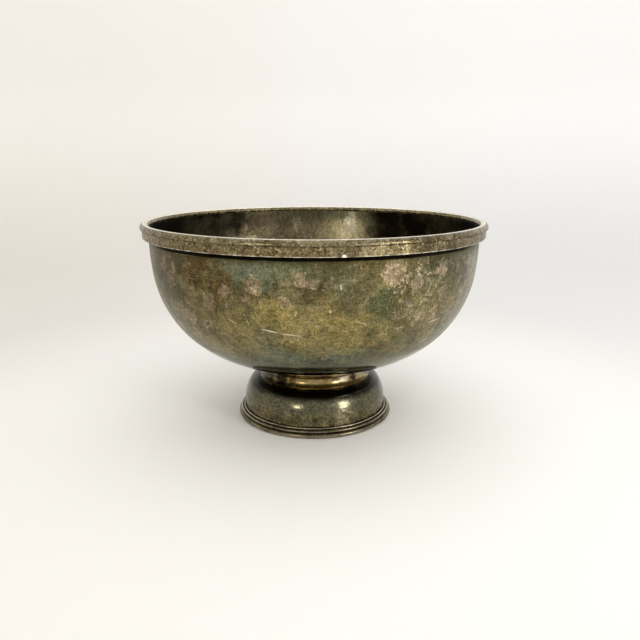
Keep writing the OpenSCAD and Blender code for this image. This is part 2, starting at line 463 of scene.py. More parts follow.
def pit_effect():
    """Scattered round specks."""
    tree, given, out = effect("Pits", [
        ("Size", "Float", 0.001), ("Share", "Float", 0.3), ("Radius", "Float", 0.35)])
    cells = add(tree, "ShaderNodeTexVoronoi",
                {"Vector": given["Vector"], "Scale": calc(tree, "DIVIDE", 1.0, given["Size"])})
    pick = add(tree, "ShaderNodeSeparateColor", {0: cells.outputs["Color"]}).outputs[0]
    chosen = calc(tree, "LESS_THAN", pick, given["Share"])
    core = times(tree, given["Radius"], 0.5)
    spot = minus(tree, 1.0, ease(tree, cells.outputs["Distance"], core, given["Radius"]))
    tree.links.new(times(tree, chosen, spot), out["Mask"])
    return tree


def patch_effect():
    """One ragged area round a centre."""
    tree, given, out = effect("Patch", [
        ("Centre", "Vector", None), ("Reach", "Float", 0.01), ("Edge", "Float", 0.5)],
        [("Mask", "Float"), ("Border", "Float")])
    far = add(tree, "ShaderNodeVectorMath", {0: given["Vector"], 1: given["Centre"]},
              operation="DISTANCE").outputs["Value"]
    ragged = calc(tree, "MULTIPLY_ADD", minus(tree, given["Edge"], 0.5), 3.2)
    ragged.node.inputs[2].default_value = 1.0
    near_by = minus(tree, ragged, calc(tree, "DIVIDE", far, given["Reach"]))
    tree.links.new(ease(tree, near_by, 0.0, 0.5), out["Mask"])
    border = minus(tree, ease(tree, near_by, 0.0, 0.08), ease(tree, near_by, 0.12, 0.30))
    tree.links.new(border, out["Border"])
    return tree


def scratch_effect():
    """One scratch between two points, wandering a little and tapering at its ends."""
    tree, given, out = effect("Scratch", [
        ("From", "Vector", None), ("To", "Vector", None), ("Width", "Float", 0.0006)])

    def vector(operation, a, b=None, out_name="Vector", scale=None):
        values = {0: a}
        if b is not None:
            values[1] = b
        if scale is not None:
            values["Scale"] = scale
        return add(tree, "ShaderNodeVectorMath", values, operation=operation).outputs[out_name]

    wander = add(tree, "ShaderNodeTexNoise", {"Vector": given["Vector"], "Scale": 260.0, "Detail": 2.0})
    swing = vector("SUBTRACT", wander.outputs["Color"], (0.5, 0.5, 0.5))
    here = vector("ADD", given["Vector"], vector("SCALE", swing, scale=0.0016))
    along = vector("SUBTRACT", given["To"], given["From"])
    offset = vector("SUBTRACT", here, given["From"])
    share = calc(tree, "DIVIDE", vector("DOT_PRODUCT", offset, along, "Value"),
                 vector("DOT_PRODUCT", along, along, "Value"), clamp=True)
    closest = vector("ADD", given["From"], vector("SCALE", along, scale=share))
    far = vector("DISTANCE", here, closest, "Value")
    taper = times(tree, times(tree, share, minus(tree, 1.0, share)), 3.0)
    width = times(tree, given["Width"], calc(tree, "ADD", taper, 0.35))
    edge = ease(tree, calc(tree, "DIVIDE", far, width), 0.55, 1.15)
    tree.links.new(minus(tree, 1.0, edge), out["Mask"])
    return tree


def hairline_effect():
    """Fine straight rubbing lines in one direction."""
    tree, given, out = effect("Hairlines", [
        ("Turn", "Vector", None), ("Stretch", "Vector", None), ("Low", "Float", 0.62),
        ("High", "Float", 0.72)])
    laid = add(tree, "ShaderNodeMapping", {"Vector": given["Vector"], "Rotation": given["Turn"],
                                           "Scale": given["Stretch"]}).outputs[0]
    noise = add(tree, "ShaderNodeTexNoise", {"Vector": laid, "Scale": 1.0, "Detail": 2.0}).outputs[0]
    tree.links.new(ease(tree, noise, given["Low"], given["High"]), out["Mask"])
    return tree


def edge_effect():
    """Bright rubbed crests and dark dirt in corners, from the values each turned piece carries."""
    tree, given, out = effect("Edges", [("Rubbed", "Float", 0.5), ("Dirty", "Float", 0.5)],
                              [("Worn", "Float"), ("Grime", "Float")])
    breakup = add(tree, "ShaderNodeTexNoise", {"Vector": given["Vector"], "Scale": 180.0,
                                               "Detail": 5.0, "Roughness": 0.6}).outputs[0]
    for name, amount, output in (("worn", "Rubbed", "Worn"), ("grime", "Dirty", "Grime")):
        value = add(tree, "ShaderNodeAttribute", attribute_name=name).outputs["Fac"]
        level = calc(tree, "ADD", times(tree, value, given[amount]),
                     times(tree, minus(tree, breakup, 0.5), 1.2))
        gate = times(tree, ease(tree, level, 0.22, 0.75), ease(tree, value, 0.0, 0.25))
        tree.links.new(gate, out[output])
    return tree


def squiggle_effect():
    """Thin broken wandering lines, as the edges of old tarnish leave."""
    tree, given, out = effect("Squiggles", [("Size", "Float", 0.01), ("Seed", "Float", 0.0)])
    levels = []
    for scale, shift in ((1.0, 0.0), (0.35, 31.0)):
        levels.append(add(tree, "ShaderNodeTexNoise", {
            "Vector": given["Vector"], "W": calc(tree, "ADD", given["Seed"], shift), "Detail": 8.0,
            "Scale": calc(tree, "DIVIDE", scale, given["Size"])}, noise_dimensions="4D").outputs[0])
    off = calc(tree, "ABSOLUTE", minus(tree, levels[0], 0.5))
    line = minus(tree, 1.0, ease(tree, off, 0.005, 0.015))
    crumbs = add(tree, "ShaderNodeTexNoise", {"Vector": given["Vector"], "Scale": 420.0, "Detail": 2.0})
    kept = times(tree, ease(tree, levels[1], 0.46, 0.56), ease(tree, crumbs.outputs[0], 0.42, 0.52))
    tree.links.new(times(tree, line, kept), out["Mask"])
    return tree


MOTTLE, PITS, PATCH, SQUIGGLES = mottle_effect(), pit_effect(), patch_effect(), squiggle_effect()
SCRATCH, HAIRLINES, EDGES = scratch_effect(), hairline_effect(), edge_effect()


def mm(point):
    return tuple(v / 1000 for v in point)


class Finish:
    """A metal finish being laid up: base colour, roughness and surface height, tone by tone."""

    def __init__(self, name, colour, rough):
        self.material = bpy.data.materials.new(name)
        self.material.use_nodes = True
        self.tree = self.material.node_tree
        self.shader = self.tree.nodes["Principled BSDF"]
        self.shader.inputs["Metallic"].default_value = 1.0
        self.place = add(self.tree, "ShaderNodeTexCoord").outputs["Object"]
        self.colour, self.rough, self.height = colour, rough, 0.0

    def group(self, effect_tree, output=0, **values):
        made = add(self.tree, "ShaderNodeGroup", node_tree=effect_tree)
        self.tree.links.new(self.place, made.inputs["Vector"])
        for name, value in values.items():
            put(self.tree, made.inputs[name], value)
        return made.outputs[output]

    def mottle(self, size, seed, low, high, detail=5.0):
        return self.group(MOTTLE, Size=size, Seed=seed, Low=low, High=high, Detail=detail)

    def noise(self, size, seed, detail=4.0):
        return add(self.tree, "ShaderNodeTexNoise",
                   {"Vector": self.place, "W": seed, "Scale": 1 / size, "Detail": detail,
                    "Roughness": 0.6}, noise_dimensions="4D").outputs[0]

    def carried(self, name):
        return add(self.tree, "ShaderNodeAttribute", attribute_name=name).outputs["Fac"]

    def calc(self, operation, a, b=0.0):
        return calc(self.tree, operation, a, b)

    def ease(self, value, low, high):
        return ease(self.tree, value, low, high)

    def level(self, mask, a, b):
        """Number a where mask is 0, number b where it is 1."""
        return add(self.tree, "ShaderNodeMix", {0: mask, 2: a, 3: b}).outputs[0]

    def times(self, a, b):
        return times(self.tree, a, b)

    def plus(self, a, b):
        return calc(self.tree, "ADD", a, b)

    def wander(self, amount, *noise):
        """A noise centred on zero, with its whole swing given."""
        return self.times(minus(self.tree, self.noise(*noise), 0.5), amount)

    def tone(self, mask, colour=None, amount=1.0, rough=None, height=None):
        """Lays a colour and a roughness where mask is 1, and raises or sinks the surface in mm."""
        part = self.times(mask, amount) if amount != 1.0 else mask
        if colour is not None:
            self.colour = blend(self.tree, part, self.colour, colour)
        if rough is not None:
            self.rough = self.level(part, self.rough, rough)
        if height:
            self.lift(mask, height)

    def lift(self, mask, height):
        """Raises the surface by height, in mm, where mask is 1."""
        self.height = self.plus(self.height, self.times(mask, height))

    def shade(self, size, seed, detail, low, high, darkest, lightest):
        """Darkens and lightens by a noise, eased between low and high."""
        value = self.ease(self.noise(size, seed, detail), low, high)
        level = add(self.tree, "ShaderNodeMapRange",
                    {"Value": value, "To Min": darkest, "To Max": lightest}).outputs["Result"]
        grey = add(self.tree, "ShaderNodeCombineColor", {k: level for k in range(3)}).outputs[0]
        self.colour = blend(self.tree, 1.0, self.colour, grey, "MULTIPLY")

    def area(self, centre, reach, edge, tone, strength, rough=None):
        """A ragged area of tone; centre and reach in mm."""
        self.tone(self.group(PATCH, Centre=mm(centre), Reach=reach / 1000, Edge=edge), tone, strength, rough)

    def cloud(self, shape, *tone):
        """A mottle (size, seed, low, high, detail), then tone()'s colour, amount, rough, height."""
        self.tone(self.mottle(*shape), *tone)

    def pits(self, size, share, radius, *tone):
        """Dark specks in a share of the cells; size in metres, radius in cells."""
        self.tone(self.group(PITS, Size=size, Share=share, Radius=radius), SOOT, *tone)

    def edges(self, bright, rubbed, dirty):
        """Dirt in the corners and then bright metal on the crests."""
        self.tone(self.group(EDGES, 1, Dirty=dirty, Rubbed=rubbed), DIRT, rough=0.6)
        self.tone(self.group(EDGES, 0, Rubbed=rubbed, Dirty=dirty), bright, rough=0.26)

    def done(self):
        bump = add(self.tree, "ShaderNodeBump", {"Height": self.height, "Distance": 0.001, "Strength": 1.0})
        for name, value in (("Base Color", self.colour), ("Roughness", self.rough),
                            ("Normal", bump.outputs[0])):
            put(self.tree, self.shader.inputs[name], value)
        return self.material


# ------ metal finishes

OLIVE = (0.155, 0.136, 0.066)
DEEP_OLIVE = (0.053, 0.045, 0.015)
# Pale olive for the painted sheen of the pale room along the bowl's sides.
EDGE_SHEEN_OLIVE = (0.29, 0.262, 0.185)
YELLOW_OLIVE = (0.29, 0.226, 0.08)
TEAL_GREY = (0.125, 0.15, 0.1)
BROWN = (0.112, 0.074, 0.024)
ROSE_BEIGE = (0.335, 0.25, 0.16)
DARK_GREEN = (0.08, 0.104, 0.05)
ETCHED = (0.58, 0.47, 0.32)
PALE_SILVER = (0.62, 0.54, 0.42)
SOOT = (0.01, 0.008, 0.004)
DIRT = (0.006, 0.005, 0.003)
RUBBED_SILVER = (0.4, 0.35, 0.26)

# The front's own areas of tarnish, and a painted sheen in pale olive along both sides, in the order they are
# laid: tone, then x, z, reach in mm, strength.
BOWL_AREAS = [
    (TEAL_GREY, [(-33, 160, 18, 0.75), (-55, 162, 16, 0.7), (8, 150, 24, 0.4)]),
    (DARK_GREEN, [(49, 135, 15, 0.6)]),
    (YELLOW_OLIVE, [(-52, 117, 18, 0.5)]),
    (TEAL_GREY, [(5, 86, 30, 0.8), (-30, 84, 22, 0.6), (28, 88, 18, 0.5)]),
    (YELLOW_OLIVE, [(-32, 128, 14, 0.75), (-16, 117, 20, 0.6), (10, 126, 19, 0.75), (26, 112, 22, 0.65),
        (2, 104, 20, 0.5), (50, 110, 14, 0.4)]),
    (BROWN, [(-89, 156, 20, 0.9), (-112, 138, 26, 0.7)]),
    (DEEP_OLIVE, [(-104, 158, 12, 0.8), (-118, 150, 10, 0.6), (-86, 146, 9, 0.6)]),
    (BROWN, [(-84, 122, 22, 0.5), (-121, 156, 22, 0.6), (-66, 150, 12, 0.8)]),
    (DEEP_OLIVE, [(12, 160, 16, 0.45)]),
    (BROWN, [(-2, 143, 14, 0.55)]),
    (DEEP_OLIVE, [(92, 160, 13, 0.6), (38, 150, 15, 0.4)]),
    (ROSE_BEIGE, [(-43, 148, 6.5, 0.8), (-38, 150, 4, 0.7), (-63, 143, 5, 0.85), (-48, 139, 4, 0.75),
        (-79, 133, 8, 0.65), (-96, 118, 7, 0.65), (-9, 154, 5, 0.75), (0, 152, 5, 0.65), (-19, 138, 5, 0.5),
        (59, 157, 10, 0.6), (57, 164, 7, 0.45), (76, 148, 6, 0.75), (92, 122, 6, 0.7), (81, 120, 5, 0.7),
        (96, 156, 6, 0.7), (98, 136, 5, 0.6)]),
    (PALE_SILVER, [(69, 134, 4, 0.3), (71, 130, 2.5, 0.35), (93, 120, 3, 0.4), (79, 119, 3, 0.45),
        (74, 144, 4, 0.3), (99, 154, 3, 0.35), (-41, 147, 3, 0.3)]),
    (ROSE_BEIGE, [(-112, 144, 7, 0.4), (8, 88, 3, 0.6)]),
    # Painted sheen along the left side.
    (EDGE_SHEEN_OLIVE, [(-141, 150, 9, 0.7), (-138, 136, 8, 0.6)]),
    (DEEP_OLIVE, [(-124, 150, 20, 0.6), (-120, 125, 20, 0.4)]),
    # Painted sheen along the right side.
    (EDGE_SHEEN_OLIVE, [(132, 148, 26, 0.9), (124, 126, 26, 0.7), (110, 106, 24, 0.6), (96, 92, 20, 0.5)]),
]
# Scratches on the front and the back, in mm: from (x, z), to (x, z), width.
BOWL_SCRATCHES = [
    ((-38, 115.4), (-24, 112.6), 0.8), ((-26.5, 112.9), (-8, 110.6), 0.62),
    ((-11.1, 132), (-12.8, 126.8), 0.42), ((19.7, 150.4), (20.1, 146.4), 0.75),
    ((88, 112.6), (99.5, 114.2), 0.5),
    ((-50, 127), (-46, 116), 0.36), ((12, 131.4), (12.6, 129.6), 0.8),
    ((-95, 112), (-90, 108.5), 0.4), ((-63, 122), (-56, 117), 0.3),
    ((2, 120), (9, 117.5), 0.3), ((32, 122), (40, 118), 0.3),
]
BACK_SCRATCHES = [
    ((-60, 128), (-34, 121), 0.7), ((12, 140), (18, 126), 0.45),
    ((40, 108), (62, 112), 0.5), ((88, 146), (94, 132), 0.4),
    ((-100, 118), (-92, 110), 0.4),
]
# Pale runs down the inside of the far wall, in the same way.
INSIDE_RUNS = [((-25, 171), (-18, 138), 1.5), ((-18, 170), (-9, 136), 1.1), ((-37, 152), (-34, 138), 1.6),
               ((34, 172), (44, 150), 1.6), ((46, 170), (40, 154), 1), ((28, 168), (33, 140), 0.9)]
# Areas on the inside of the far wall, in mm: (x, y, z), reach, tone, strength; the last, large dark one is
# painted shade that dims a lamp's reflection.
INSIDE_AREAS = [((40, 139, 169), 8, (0.36, 0.33, 0.24), 0.85), ((42, 138, 157), 8, (0.28, 0.25, 0.17), 0.8),
                ((-58, 131, 165), 36, (0.072, 0.056, 0.034), 0.92)]


def bowl_outside(f, height, depth):
    """Heavy olive tarnish in clouds, ragged areas and a fine grain, with a painted sheen along the sides and
    painted shade under the hoop.
    """
    f.tone(f.ease(height, 0.15, 0.112), (0.228, 0.192, 0.088), 0.9)
    f.tone(f.ease(height, 0.104, 0.08), (0.2, 0.195, 0.112), 0.8)
    f.cloud((0.07, 1, 0.4, 0.66, 3), DEEP_OLIVE, 0.55)
    f.cloud((0.06, 2, 0.46, 0.7, 4), TEAL_GREY, 0.5)
    f.cloud((0.04, 3, 0.5, 0.74, 8), YELLOW_OLIVE, 0.5)
    f.cloud((0.05, 12, 0.5, 0.7, 6), BROWN, 0.5)
    edge = f.noise(0.0085, 4, 9)
    back = f.ease(depth, -0.05, 0.01)
    high_up = f.times(back, f.ease(height, 0.1, 0.12))
    for place, size, seed, low, tone, strength in (
            (back, 0.034, 31, 0.52, TEAL_GREY, 0.75), (back, 0.04, 32, 0.51, YELLOW_OLIVE, 0.65),
            (back, 0.036, 33, 0.53, BROWN, 0.75), (back, 0.03, 34, 0.55, DARK_GREEN, 0.6),
            (high_up, 0.016, 35, 0.58, ROSE_BEIGE, 0.65), (high_up, 0.011, 36, 0.61, ROSE_BEIGE, 0.6)):
        f.tone(f.times(place, f.mottle(size, seed, low, low + 0.07, 9)), tone, strength)
    grain = f.noise(0.003, 13, 5)
    broken = f.ease(grain, 0.18, 0.5)
    flecks = f.ease(f.noise(0.0022, 29, 3), 0.46, 0.58)
    for tone, areas in BOWL_AREAS:
        for x, z, reach, strength in areas:
            mask = f.group(PATCH, Centre=on_bowl(x / 1000, z / 1000), Reach=reach / 1000, Edge=edge)
            f.tone(f.times(mask, broken), tone, strength)
            if tone in (ROSE_BEIGE, PALE_SILVER):
                f.tone(f.times(mask.node.outputs["Border"], flecks), ETCHED, 0.6, 0.28)
    f.cloud((0.014, 5, 0.56, 0.72, 9), ROSE_BEIGE, 0.36)
    flakes = f.times(f.mottle(0.01, 21, 0.585, 0.625, 10), f.ease(height, 0.1, 0.118))
    f.tone(flakes, ROSE_BEIGE, 0.42)
    f.cloud((0.0075, 23, 0.6, 0.64, 10), DEEP_OLIVE, 0.6)
    f.cloud((0.009, 6, 0.52, 0.72, 9), DEEP_OLIVE, 0.5)
    f.cloud((0.005, 7, 0.56, 0.74, 8), YELLOW_OLIVE, 0.4)
    f.shade(0.0013, 14, 2, 0.25, 0.75, 0.5, 1.46)
    f.shade(0.0034, 37, 4, 0.3, 0.7, 0.74, 1.27)
    f.shade(0.022, 15, 7, 0.3, 0.7, 0.66, 1.3)
    etched = f.group(PATCH, Centre=on_bowl(0.08, 0.138), Reach=0.04, Edge=edge)
    etched = f.calc("MAXIMUM", etched, f.mottle(0.06, 30, 0.52, 0.6, 4))
    for size, seed in ((0.007, 16), (0.011, 17)):
        lines = f.times(f.group(SQUIGGLES, Size=size, Seed=seed), etched)
        f.tone(lines, ETCHED, 0.9, 0.28)
    f.pits(0.0016, 0.2, 0.34, 0.6, 0.6, -0.012)
    f.pits(0.0036, 0.1, 0.2, 0.8, 0.6, -0.02)
    f.tone(f.ease(height, 0.088, 0.072), rough=0.06)
    # Darker just under the hoop: painted shade and reflection of the hoop's underside, with some dirt.
    f.tone(f.ease(height, 0.161, 0.1672), DEEP_OLIVE, 0.7)


def bowl_inside(f, height, across):
    """Darker and smoother, with runs down the wall; the two ends and the upper left painted black as shade
    and reflection, and painted shade over a lamp's reflection on the left.
    """
    f.colour, f.rough = (0.33, 0.282, 0.16), 0.34
    runs = add(f.tree, "ShaderNodeMapping", {"Vector": f.place, "Scale": (1, 1, 0.12)}).outputs[0]
    broad = add(f.tree, "ShaderNodeTexNoise", {"Vector": runs, "Scale": 42, "Detail": 5.0}).outputs[0]
    f.tone(f.ease(broad, 0.42, 0.66), (0.165, 0.155, 0.098), 0.75)
    fine = add(f.tree, "ShaderNodeTexNoise", {"Vector": runs, "Scale": 190, "Detail": 3.0}).outputs[0]
    f.tone(f.ease(fine, 0.54, 0.72), (0.6, 0.53, 0.4), 0.55)
    f.cloud((0.035, 8, 0.46, 0.68), (0.24, 0.17, 0.085), 0.6)
    upper = f.plus(height, f.times(f.calc("SUBTRACT", broad, 0.5), 0.03))
    f.tone(f.ease(upper, 0.152, 0.174), (0.07, 0.073, 0.043), 0.8)
    shrink = 1 - SHEET / WALL
    for *ends, width in INSIDE_RUNS:
        outer_ends = [on_bowl(x / 1000, z / 1000, 1) for x, z in ends]
        start, end = [(x * shrink, y * shrink, z) for x, y, z in outer_ends]
        f.tone(f.group(SCRATCH, From=start, To=end, Width=width / 1000), (0.52, 0.48, 0.35), 0.5)
    edge = f.noise(0.007, 18, 8)
    for centre, reach, tone, strength in INSIDE_AREAS:
        f.area(centre, reach, edge, tone, strength)
    # Painted shade and reflection: the two ends of the inside and its upper left near black.
    wander = f.wander(0.07, 0.03, 19, 5)
    shifted = f.plus(across, wander)
    on_wall = f.ease(f.plus(height, f.times(wander, 0.6)), 0.11, 0.15)
    f.tone(f.times(f.ease(shifted, 0.048, 0.076), on_wall), (0.008, 0.005, 0.002), 0.985)
    f.tone(f.times(f.ease(shifted, -0.076, -0.116), on_wall), (0.008, 0.007, 0.004), 0.98)
    high_left = f.times(f.ease(shifted, -0.042, -0.092), f.ease(upper, 0.138, 0.166))
    f.tone(high_left, (0.008, 0.007, 0.004), 0.95)
    f.cloud((0.05, 40, 0.46, 0.62, 7), (0.12, 0.098, 0.058), 0.6)
    f.tone(f.times(f.mottle(0.022, 49, 0.52, 0.62, 8), f.ease(height, 0.13, 0.1)),
           (0.11, 0.12, 0.085), 0.6)
    f.shade(0.0024, 20, 3, 0.28, 0.72, 0.62, 1.34)
    f.pits(0.0026, 0.14, 0.26, 0.7)


# The black line under the hoop is painted shadow and reflection of the hoop's underside, with some dirt.
HOOP_SHADOW_RISE = (0.166, 0.1674)    # heights over which the black line under the hoop comes in
HOOP_SHADOW_ENDS = (0.134, 0.112)     # distances left and right over which it fades


def bowl_silver():
    f = Finish("bowl_silver", OLIVE, 0.38)
    axes = split(f.tree, f.place)
    bowl_outside(f, axes["Z"], axes["Y"])
    outer_colour, outer_rough = f.colour, f.rough
    bowl_inside(f, axes["Z"], axes["X"])
    inside = f.carried("inside")
    f.colour = blend(f.tree, inside, outer_colour, f.colour)
    f.rough = f.level(inside, outer_rough, f.rough)
    # Rubbing lines, scratches and an uneven sheen, fainter inside.
    outer_share = f.calc("SUBTRACT", 1, f.times(inside, 0.85))
    for turn_by, stretch_by, low in (((0, 0, 0), (30, 30, 900), 0.64), ((0.5, 0, 0.3), (45, 45, 1100), 0.66),
                                     ((-0.8, 0.2, 0), (60, 60, 1000), 0.66)):
        lines = f.group(HAIRLINES, Turn=turn_by, Stretch=stretch_by, Low=low, High=low + 0.08)
        f.tone(f.times(lines, outer_share), ROSE_BEIGE, 0.4, 0.3)
    for side, scratches in ((-1, BOWL_SCRATCHES), (1, BACK_SCRATCHES)):
        for *ends, width in scratches:
            start, end = [on_bowl(x / 1000, z / 1000, side) for x, z in ends]
            cut = f.group(SCRATCH, From=start, To=end, Width=width / 1000)
            f.tone(cut, (0.78, 0.66, 0.46), 0.8, 0.3, -0.03)
    # Painted shadow and reflection under the hoop, with some dirt, on the front and back of the outside.
    hoop_shadow_wobble = f.wander(0.0016, 0.02, 27)
    under = f.ease(f.plus(axes["Z"], hoop_shadow_wobble), *HOOP_SHADOW_RISE)
    front_and_back = f.ease(f.calc("ABSOLUTE", axes["X"]), *HOOP_SHADOW_ENDS)
    outside = f.times(f.calc("SUBTRACT", 1, inside), front_and_back)
    f.tone(f.times(under, outside), (0.003, 0.0025, 0.0015), 0.97, 0.75)
    side = f.ease(axes["Z"], 0.072, 0.092)
    sheen = f.wander(0.18, 0.012, 9)
    f.rough = f.plus(f.rough, f.times(sheen, side))
    f.lift(f.noise(0.002, 10), 0.034)
    f.lift(f.noise(0.018, 11, 2), 0.14)
    f.height = f.times(f.height, f.plus(f.times(side, 0.85), 0.15))
    return f.done()


# A small bright chip on the hoop, in mm.
CHIP = (21.6, -149.4, 170.6)
# Base, dark, light and brightest tones.
RIM_TONES = ((0.225, 0.188, 0.104), (0.11, 0.088, 0.042), (0.35, 0.29, 0.17), (0.52, 0.44, 0.29))
HOOP_TONES = ((0.24, 0.19, 0.098), (0.105, 0.078, 0.036), (0.35, 0.285, 0.16), (0.52, 0.44, 0.28))
# Browner stretches of the rim, in mm: (x, y, z), reach, strength.
RIM_AREAS = [((80, -129, 172), 17, 0.8), ((58, -140, 174), 10, 0.6), ((-30, -149, 175), 10, 0.5),
             ((104, -110, 173), 9, 0.6), ((-96, 117, 173), 18, 0.7), ((40, 146, 173), 14, 0.6)]


def rim_silver(name, tones, coarse, fine, rubbed, seed):
    """Tarnish on the rim: the rolled lip is smoother and rubbed along its crest, the hoop is freckled."""
    base, dark, light, bright = tones
    f = Finish(name, base, 0.25)
    f.cloud((0.024, seed, 0.42, 0.66, 6), dark, 0.65)
    f.cloud((0.03, seed + 1, 0.5, 0.7), (0.135, 0.128, 0.07), 0.4)
    f.cloud((0.009, seed + 2, 0.5, 0.62, 9), light, coarse, 0.24)
    f.cloud((0.0056, seed + 3, 0.53, 0.6, 9), (0.024, 0.018, 0.008), coarse, 0.5, -0.02)
    f.cloud((0.0022, seed + 8, 0.51, 0.58, 6), (0.03, 0.023, 0.01), fine, 0.5, -0.02)
    edge = f.noise(0.006, seed + 9, 8)
    for centre, reach, strength in RIM_AREAS:
        f.area(centre, reach, edge, (0.06, 0.044, 0.021), strength)
    f.cloud((0.002, seed + 4, 0.56, 0.61, 6), bright, fine, 0.22)
    f.shade(0.0014, seed + 5, 3, 0.28, 0.72, 0.58, 1.38)
    f.pits(0.0014, 0.34, 0.36, fine, 0.6, -0.03)
    f.edges((0.92, 0.87, 0.74), rubbed, 0.75)
    f.area(CHIP, 2.2, 0.5, (0.95, 0.92, 0.86), 1, rough=0.5)
    f.rough = f.plus(f.rough, f.wander(0.2, 0.006, seed + 6))
    f.lift(f.noise(0.002, seed + 7), 0.04)
    return f.done()


FOOT_HIGHLIGHT_STREAK = (26, -61, 15)    # a painted highlight streak below the right lamp's reflection on the foot's front, in mm
# Mottles inside the foot: size, seed, where each begins, tone.
FOOT_HOLLOW_TONES = [(0.02, 57, 0.48, (0.06, 0.048, 0.027)), (0.009, 58, 0.55, (0.075, 0.1, 0.07)),
                     (0.0045, 59, 0.57, (0.24, 0.19, 0.12)), (0.0018, 60, 0.56, (0.03, 0.022, 0.01))]


def foot_silver():
    f = Finish("foot_silver", (0.148, 0.134, 0.074), 0.2)
    height = split(f.tree, f.place)["Z"]
    f.cloud((0.03, 31, 0.42, 0.66, 5), (0.046, 0.043, 0.022), 0.75)
    f.cloud((0.022, 32, 0.5, 0.68, 6), BROWN, 0.6)
    low = f.ease(height, 0.03, 0.014)
    f.tone(f.times(f.mottle(0.0085, 33, 0.46, 0.66, 8), low), (0.3, 0.235, 0.115), 0.7, 0.32)
    f.tone(f.times(f.mottle(0.014, 39, 0.52, 0.66, 7), low), (0.1, 0.115, 0.065), 0.6)
    f.cloud((0.0042, 34, 0.5, 0.66, 6), (0.022, 0.019, 0.01), 0.68, 0.36)
    f.cloud((0.005, 35, 0.6, 0.7, 7), RUBBED_SILVER, 0.5, 0.26)
    drift = f.wander(0.01, 0.02, 50, 5)
    f.tone(f.ease(f.plus(height, drift), 0.0175, 0.0225), (0.086, 0.084, 0.058), 0.62, 0.17)
    f.shade(0.0014, 44, 3, 0.28, 0.72, 0.45, 1.6)
    f.pits(0.0015, 0.24, 0.34, 0.8, 0.5, -0.02)
    # A near-black ring high on the foot: painted reflection of the bowl's dark underside, and painted shade.
    wander = f.wander(0.006, 0.012, 47, 7)
    f.tone(f.ease(f.plus(height, wander), 0.0285, 0.0335), (0.008, 0.007, 0.005), 0.94)
    # Painted highlight: a pale streak below the right lamp's reflection.
    highlight_streak = f.group(PATCH, Centre=mm(FOOT_HIGHLIGHT_STREAK), Reach=0.009, Edge=f.noise(0.004, 45, 7))
    f.tone(f.times(highlight_streak, f.ease(f.noise(0.003, 48, 5), 0.4, 0.6)), (0.44, 0.37, 0.25), 0.75)
    inside = f.carried("inside")
    f.tone(inside, (0.15, 0.118, 0.07), 0.85, 0.5)
    for size, seed, low, tone in FOOT_HOLLOW_TONES:
        f.tone(f.times(inside, f.mottle(size, seed, low, low + 0.08, 8)), tone, 0.75)
    for turn_by, stretch_by in (((0, 0, 0), (40, 40, 1200)), ((0.7, 0.1, 0), (60, 60, 1300))):
        lines = f.group(HAIRLINES, Turn=turn_by, Stretch=stretch_by, Low=0.67, High=0.75)
        f.tone(lines, RUBBED_SILVER, 0.4, 0.25)
    f.rough = f.plus(f.rough, f.wander(0.18, 0.008, 36))
    f.lift(f.noise(0.0015, 37), 0.024)
    f.lift(f.noise(0.012, 38, 2), 0.1)
    return f.done()


def moulding_silver():
    f = Finish("moulding_silver", (0.16, 0.14, 0.088), 0.27)
    f.cloud((0.016, 41, 0.42, 0.66, 6), (0.05, 0.043, 0.025), 0.78)
    f.cloud((0.005, 42, 0.54, 0.68, 8), (0.3, 0.26, 0.18), 0.55)
    f.shade(0.002, 46, 3, 0.28, 0.72, 0.6, 1.34)
    f.pits(0.0013, 0.28, 0.36, 0.8, 0.55, -0.02)
    f.edges(RUBBED_SILVER, 0.7, 1.15)
    f.lift(f.noise(0.0018, 43), 0.03)
    return f.done()


# Dark and bright areas round the neck, partly tarnish and partly painted reflections, in mm: (x, y, z),
# reach, tone, strength.
NECK_AREAS = [
    ((-40, -27, 43), 16, (0.02, 0.013, 0.006), 0.95), ((-48, -6, 44), 18, (0.028, 0.02, 0.011), 0.9),
    ((-20, -43, 43), 5, (0.1, 0.055, 0.02), 0.8), ((-30, -36.5, 43), 12, (0.018, 0.011, 0.005), 0.96),
    ((35, -32.5, 43), 4.5, (0.016, 0.012, 0.008), 0.95), ((49, -6, 43), 11, (0.03, 0.024, 0.016), 0.9),
    ((27, -39, 45), 5.5, (0.72, 0.6, 0.46), 0.9), ((42, -24, 45), 5, (0.42, 0.34, 0.28), 0.75),
]


def neck_brass():
    f = Finish("neck_brass", (0.31, 0.242, 0.105), 0.22)
    f.cloud((0.024, 51, 0.42, 0.64, 6), (0.15, 0.098, 0.036), 0.65)
    f.cloud((0.034, 52, 0.5, 0.64), (0.085, 0.078, 0.052), 0.7)
    edge = f.noise(0.007, 55, 8)
    # Tarnish and painted reflections round the neck.
    for centre, reach, tone, strength in NECK_AREAS:
        f.area(centre, reach, edge, tone, strength)
    f.cloud((0.006, 53, 0.58, 0.7, 7), (0.55, 0.43, 0.28), 0.45)
    f.shade(0.002, 56, 3, 0.28, 0.72, 0.66, 1.28)
    f.pits(0.0014, 0.22, 0.36, 0.6, 0.5, -0.02)
    f.edges((0.66, 0.56, 0.4), 0.8, 0.8)
    f.lift(f.noise(0.003, 54), 0.05)
    return f.done()


def fixing_steel():
    f = Finish("fixing_steel", (0.27, 0.262, 0.24), 0.36)
    f.cloud((0.006, 61, 0.46, 0.62), (0.14, 0.125, 0.105), 0.75, 0.5)
    f.cloud((0.003, 62, 0.56, 0.66), (0.2, 0.09, 0.035), 0.55, 0.7)
    f.tone(f.group(HAIRLINES, Turn=(0, 0, 0), Stretch=(200, 200, 2500), Low=0.6, High=0.7),
           (0.6, 0.58, 0.54), 0.4)
    f.lift(f.noise(0.001, 63), 0.02)
    return f.done()


